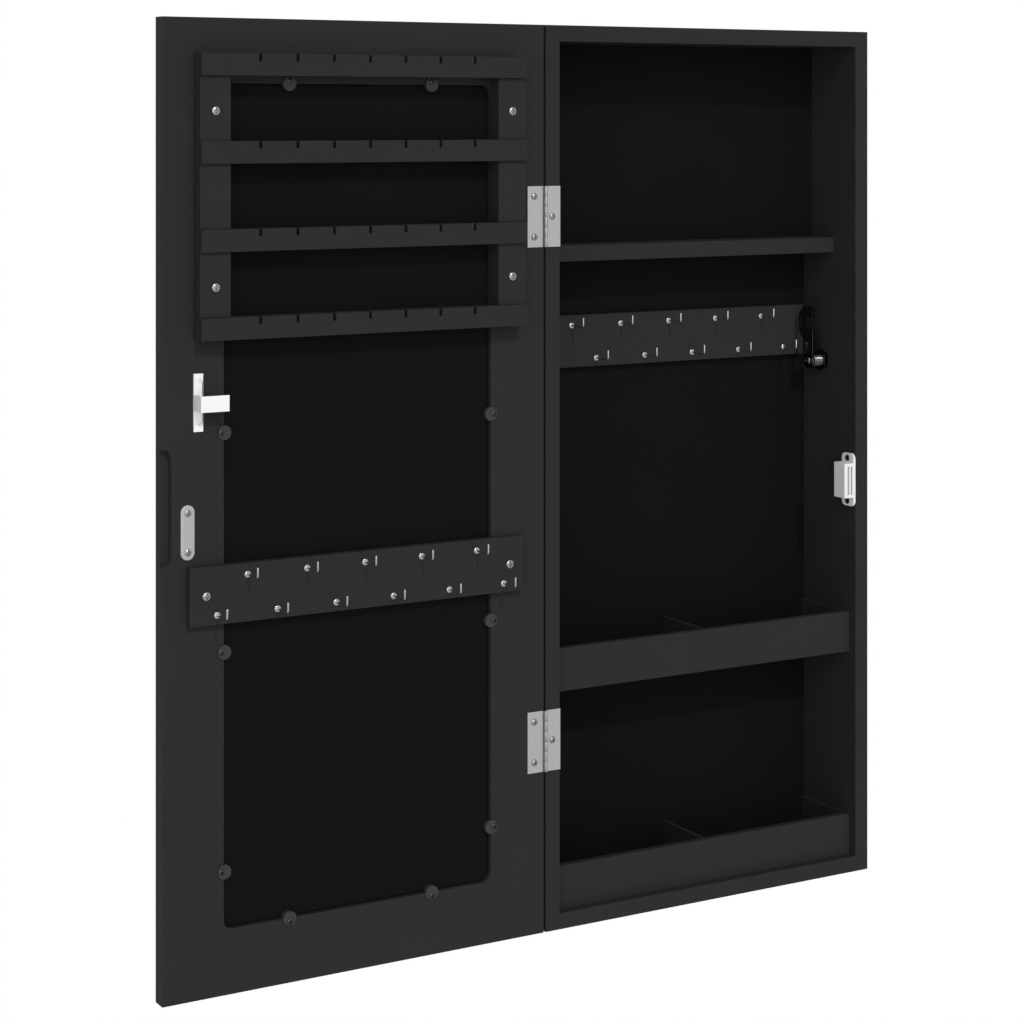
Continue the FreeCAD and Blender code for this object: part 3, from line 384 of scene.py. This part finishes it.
def soften(node, width):
    """Eases the sharp edges of a node."""
    piece = frame["nodes"][node]
    weld = piece.modifiers.new("joined_faces", "WELD")
    weld.merge_threshold = WELD_REACH
    bevel = piece.modifiers.new("eased_edges", "BEVEL")
    bevel.width = width
    bevel.segments = EDGE_SEGMENTS
    bevel.limit_method = "ANGLE"
    bevel.angle_limit = SHARP_ANGLE
    bevel.harden_normals = True


BOARDS = (
    "left_side_panel", "right_side_panel", "top_panel", "bottom_panel", "hanging_board", "shelf",
    "upper_tray_base", "upper_tray_front", "lower_tray_front", "door_frame", "rack_left_stile",
    "rack_right_stile", "rack_rail_1", "rack_rail_2", "rack_rail_3", "rack_rail_4", "door_hook_bar",
    "cabinet_hook_bar")
THIN_BOARDS = ("back_panel", "upper_tray_dividers", "lower_tray_dividers", "mirror_backing")
PLATES = (
    "mirror_glass", "mirror_clips", "catch_housing", "catch_magnet", "catch_pole_plates", "lock_bracket",
    "hanger_plates", "lock_nut", "lock_cam")
FINE_PARTS = (
    "upper_hinge_cabinet_leaf", "upper_hinge_door_leaf", "lower_hinge_cabinet_leaf",
    "lower_hinge_door_leaf", "upper_hinge_pin", "lower_hinge_pin", "hinge_door_screws",
    "hinge_cabinet_screws", "rack_screws", "door_hook_bar_screws", "cabinet_hook_bar_screws",
    "mirror_clip_screws", "catch_screws", "lock_bracket_screws", "strike_plate_screws", "hanger_screws",
    "lock_barrel", "lock_plug", "lock_cam_screw")
EASED = ((BOARDS, BOARD_EDGE), (THIN_BOARDS, THIN_EDGE), (PLATES, PLATE_EDGE), (FINE_PARTS, FINE_EDGE))


def soften_nodes():
    for nodes, width in EASED:
        for node in nodes:
            soften(node, width)


# ---------------------------------------------------------------- pieces modelled here
def solids_of(node):
    """Lowest and highest corner of each separate solid in a node, from the top left on."""
    shape = bmesh.new()
    shape.from_mesh(frame["nodes"][node].data)
    bmesh.ops.remove_doubles(shape, verts=shape.verts, dist=SAME_POINT)
    left = set(shape.verts)
    boxes = []
    while left:
        group = [left.pop()]
        for vert in group:
            joined = [edge.other_vert(vert) for edge in vert.link_edges]
            fresh = {other for other in joined if other in left}
            left -= fresh
            group += fresh
        low = Vector([min(vert.co[axis] for vert in group) for axis in range(3)])
        high = Vector([max(vert.co[axis] for vert in group) for axis in range(3)])
        boxes.append((low, high))
    shape.free()
    return sorted(boxes, key=lambda box: (-round(box[1].z, ROW_DIGITS), box[0].x))


def join_rings(shape, ring, after):
    """A band of faces between two rings with as many vertices."""
    count = len(ring)
    for i in range(count):
        j = (i + 1) % count
        shape.faces.new((ring[i], ring[j], after[j], after[i]))


def add_skin(shape, rings):
    """Faces between neighbouring rings of vertices, and a face on each end."""
    for ring, after in zip(rings, rings[1:]):
        join_rings(shape, ring, after)
    shape.faces.new(tuple(reversed(rings[0])))
    shape.faces.new(tuple(rings[-1]))


def add_ring(shape, centre, across, up, radius, sides):
    """A circle of vertices in the plane of two directions."""
    turn = 2 * math.pi / sides
    return [shape.verts.new(centre + radius * (math.cos(turn * i) * across + math.sin(turn * i) * up))
            for i in range(sides)]


def body_of(node):
    bodies = frame["record"]["behaviour"]["bodies"]
    return next(body for body, nodes in bodies.items() if node in nodes)


def slot_of(node):
    return next(row["material_slot"] for row in frame["record"]["subparts"] if row["node"] == node)


def make_piece(name, shape, node, finish):
    """Turns a shape into a piece that stands for a node and moves with the node's body."""
    bmesh.ops.recalc_face_normals(shape, faces=shape.faces)
    mesh = bpy.data.meshes.new(name)
    shape.to_mesh(mesh)
    shape.free()
    mesh.shade_smooth()
    mesh.set_sharp_from_angle(angle=SHARP_ANGLE)
    mesh.materials.append(finish)
    piece = bpy.data.objects.new(name, mesh)
    bpy.context.collection.objects.link(piece)
    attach(piece, body_of(node))
    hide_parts(node)


def hook_line(low, high):
    """A wire's centre line as (point, heading, radius): straight out, a bend and an upturned tip."""
    x = (low.x + high.x) / 2
    axis_z = low.z + (high.x - low.x) / 2
    tip_y = low.y + HOOK_WIRE
    out, up = Vector((0, -1, 0)), Vector((0, 0, 1))
    line = [(Vector((x, high.y, axis_z)), out, HOOK_WIRE)]
    bend_centre = Vector((x, tip_y + HOOK_BEND, axis_z + HOOK_BEND))
    for step in range(BEND_STEPS + 1):
        angle = math.pi / 2 * step / BEND_STEPS
        heading = math.cos(angle) * out + math.sin(angle) * up
        point = bend_centre + HOOK_BEND * (math.sin(angle) * out - math.cos(angle) * up)
        line.append((point, heading, HOOK_WIRE))
    for step in range(TIP_STEPS):
        angle = math.pi / 2 * step / TIP_STEPS
        top = Vector((x, tip_y, high.z - HOOK_WIRE + HOOK_WIRE * math.sin(angle)))
        line.append((top, up, HOOK_WIRE * math.cos(angle)))
    return line


def add_hook(shape, low, high):
    """One wire hook that fills the box of its plain solid, with its collar."""
    across = Vector((1, 0, 0))
    rings = [add_ring(shape, point, across, across.cross(heading), radius, WIRE_SIDES)
             for point, heading, radius in hook_line(low, high)]
    add_skin(shape, rings)
    add_hook_seat(shape, low, high)


def add_hook_seat(shape, low, high):
    """The domed collar that the wire is pressed up to, on the bar's face."""
    seat_radius = (high.x - low.x) / 2
    centre = Vector(((low.x + high.x) / 2, low.y + HOOK_REACH, low.z + seat_radius))
    out, across, up = Vector((0, -1, 0)), Vector((1, 0, 0)), Vector((0, 0, 1))
    rings = [add_ring(shape, centre, across, up, seat_radius, SEAT_SIDES)]
    for step in range(DOME_STEPS):
        angle = math.pi / 2 * step / DOME_STEPS
        rise = HOOK_SEAT_RIM + (HOOK_SEAT_RISE - HOOK_SEAT_RIM) * math.sin(angle)
        radius = seat_radius * math.cos(angle)
        rings.append(add_ring(shape, centre + rise * out, across, up, radius, SEAT_SIDES))
    add_skin(shape, rings)


def plate_outline(low, high, inset, y):
    """Points round a plate with half-round ends, drawn in by an inset."""
    end_radius = (high.x - low.x) / 2 - inset
    x = (low.x + high.x) / 2
    ends = (high.z - (high.x - low.x) / 2, low.z + (high.x - low.x) / 2)
    points = []
    for end, z in enumerate(ends):
        for step in range(END_SIDES + 1):
            angle = math.pi * (end + step / END_SIDES)
            across, up = end_radius * math.cos(angle), end_radius * math.sin(angle)
            points.append(Vector((x + across, y, z + up)))
    return points


def fill_between(shape, rings):
    """A flat face with holes; the first ring is the outline."""
    edges = []
    for ring in rings:
        for vert, after in zip(ring, ring[1:] + ring[:1]):
            edge = shape.edges.get((vert, after))
            edges.append(edge or shape.edges.new((vert, after)))
    bmesh.ops.triangle_fill(shape, use_beauty=True, use_dissolve=False, edges=edges)


def press_strike_plate(finishes):
    """The catch's counterplate: pressed steel with rolled-over edges and two countersunk holes."""
    low, high = (Vector(corner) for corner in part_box("strike_plate"))
    rings = [plate_outline(low, high, 0, high.y)]
    for step in range(ROUND_STEPS + 1):
        angle = math.pi / 2 * step / ROUND_STEPS
        inset = STRIKE_ROUND * (1 - math.cos(angle))
        rings.append(plate_outline(low, high, inset, low.y + STRIKE_ROUND * (1 - math.sin(angle))))
    shape = bmesh.new()
    rims = [[shape.verts.new(point) for point in ring] for ring in rings]
    for rim, after in zip(rims, rims[1:]):
        join_rings(shape, rim, after)
    fronts, backs = [rims[-1]], [rims[0]]
    across, up = Vector((1, 0, 0)), Vector((0, 0, 1))
    for screw_low, screw_high in solids_of("strike_plate_screws"):
        middle = (screw_low + screw_high) / 2
        head = (screw_high.x - screw_low.x) / 2
        front, back = Vector((middle.x, low.y, middle.z)), Vector((middle.x, high.y, middle.z))
        fronts.append(add_ring(shape, front, across, up, head, END_SIDES))
        backs.append(add_ring(shape, back, across, up, STRIKE_HOLE, END_SIDES))
        join_rings(shape, fronts[-1], backs[-1])
    fill_between(shape, fronts)
    fill_between(shape, backs)
    make_piece("pressed_strike_plate", shape, "strike_plate", finishes[slot_of("strike_plate")])


def bend_hooks(finishes):
    """Bent wire hooks in place of the plain ones on both bars."""
    for node in ("door_hooks", "cabinet_hooks"):
        shape = bmesh.new()
        for low, high in solids_of(node):
            add_hook(shape, low, high)
        make_piece(node + "_bent_wire", shape, node, finishes[slot_of(node)])


# ---------------------------------------------------------------- studio
def put_camera():
    """A level camera, turned to the photograph's angle; the lens shift keeps upright edges upright."""
    camera = bpy.data.objects.new("camera", bpy.data.cameras.new("camera"))
    bpy.context.collection.objects.link(camera)
    camera.location = CAMERA_AT
    camera.rotation_euler = (math.radians(90), 0, -CAMERA_YAW)
    camera.data.sensor_width = SENSOR
    camera.data.lens = FOCAL_PIXELS / PICTURE * SENSOR
    camera.data.shift_y = (HORIZON_ROW - PICTURE / 2) / PICTURE
    camera.data.clip_start = NEAREST_SEEN
    bpy.context.scene.camera = camera


def grey(level):
    return (level, level, level, 1)


def seen_ray(tree):
    """1 for rays that come straight from the camera, a shiny surface or through glass."""
    path = tree.nodes.new("ShaderNodeLightPath")
    total = path.outputs["Is Camera Ray"]
    for name in ("Is Glossy Ray", "Is Transmission Ray"):
        add = tree.nodes.new("ShaderNodeMath")
        add.operation = "MAXIMUM"
        tree.links.new(total, add.inputs[0])
        tree.links.new(path.outputs[name], add.inputs[1])
        total = add.outputs[0]
    return total


def light_world():
    """White to the camera and in reflections, a soft grey fill for everything else."""
    world = bpy.data.worlds.new("studio")
    bpy.context.scene.world = world
    world.use_nodes = True
    tree = world.node_tree
    background = tree.nodes["Background"]
    mix = tree.nodes.new("ShaderNodeMix")
    mix.data_type = "RGBA"
    mix.inputs[6].default_value = grey(ROOM_LIGHT)
    mix.inputs[7].default_value = grey(WHITE)
    tree.links.new(seen_ray(tree), mix.inputs["Factor"])
    tree.links.new(mix.outputs[2], background.inputs["Color"])
    background.inputs["Strength"].default_value = WHITE


def add_light(name, shines_from, spread, strength):
    """A distant lamp; its spread softens the shadows."""
    light = bpy.data.lights.new(name, "SUN")
    light.angle = math.radians(spread)
    light.energy = strength
    piece = bpy.data.objects.new(name, light)
    bpy.context.collection.objects.link(piece)
    piece.rotation_euler = Vector(shines_from).to_track_quat("Z", "Y").to_euler()


def light_studio():
    add_light("key_light", *KEY_LIGHT)
    add_light("soft_light", *SOFT_LIGHT)
    add_light("rear_light", *REAR_LIGHT)


def lay_floor():
    """A pale floor that takes the shadow near the cabinet and fades to white further out."""
    bpy.ops.mesh.primitive_plane_add(size=FLOOR_SIZE, location=(FLOOR_MIDDLE, 0, -FLOOR_DROP))
    floor = bpy.context.object
    floor.name = "floor"
    finish = Finish("pale_floor", Roughness=FLOOR_ROUGHNESS, Base_Color=grey(FLOOR_TONE))
    place = finish.node("ShaderNodeTexCoord", output="Object")
    distance = finish.node("ShaderNodeVectorMath", {"operation": "LENGTH"}, {0: place}, output="Value")
    seen = Field(finish, seen_ray(finish.tree))
    fade = finish.ramp(distance, FLOOR_FADE_START, FLOOR_FADE_END) * seen
    white = finish.node("ShaderNodeEmission", {}, {"Color": grey(WHITE), "Strength": WHITE})
    shaded = Field(finish, finish.shader.outputs[0])
    mixed = finish.node("ShaderNodeMixShader", {}, {0: fade, 1: shaded, 2: white})
    finish.feed(finish.tree.nodes["Material Output"].inputs["Surface"], mixed)
    floor.data.materials.append(finish.material)


def main():
    bpy.context.scene.view_settings.view_transform = "Standard"
    finishes = {slot: make() for slot, make in FINISHES.items()}
    dress_nodes(finishes)
    soften_nodes()
    bend_hooks(finishes)
    press_strike_plate(finishes)
    put_camera()
    light_world()
    light_studio()
    lay_floor()


main()
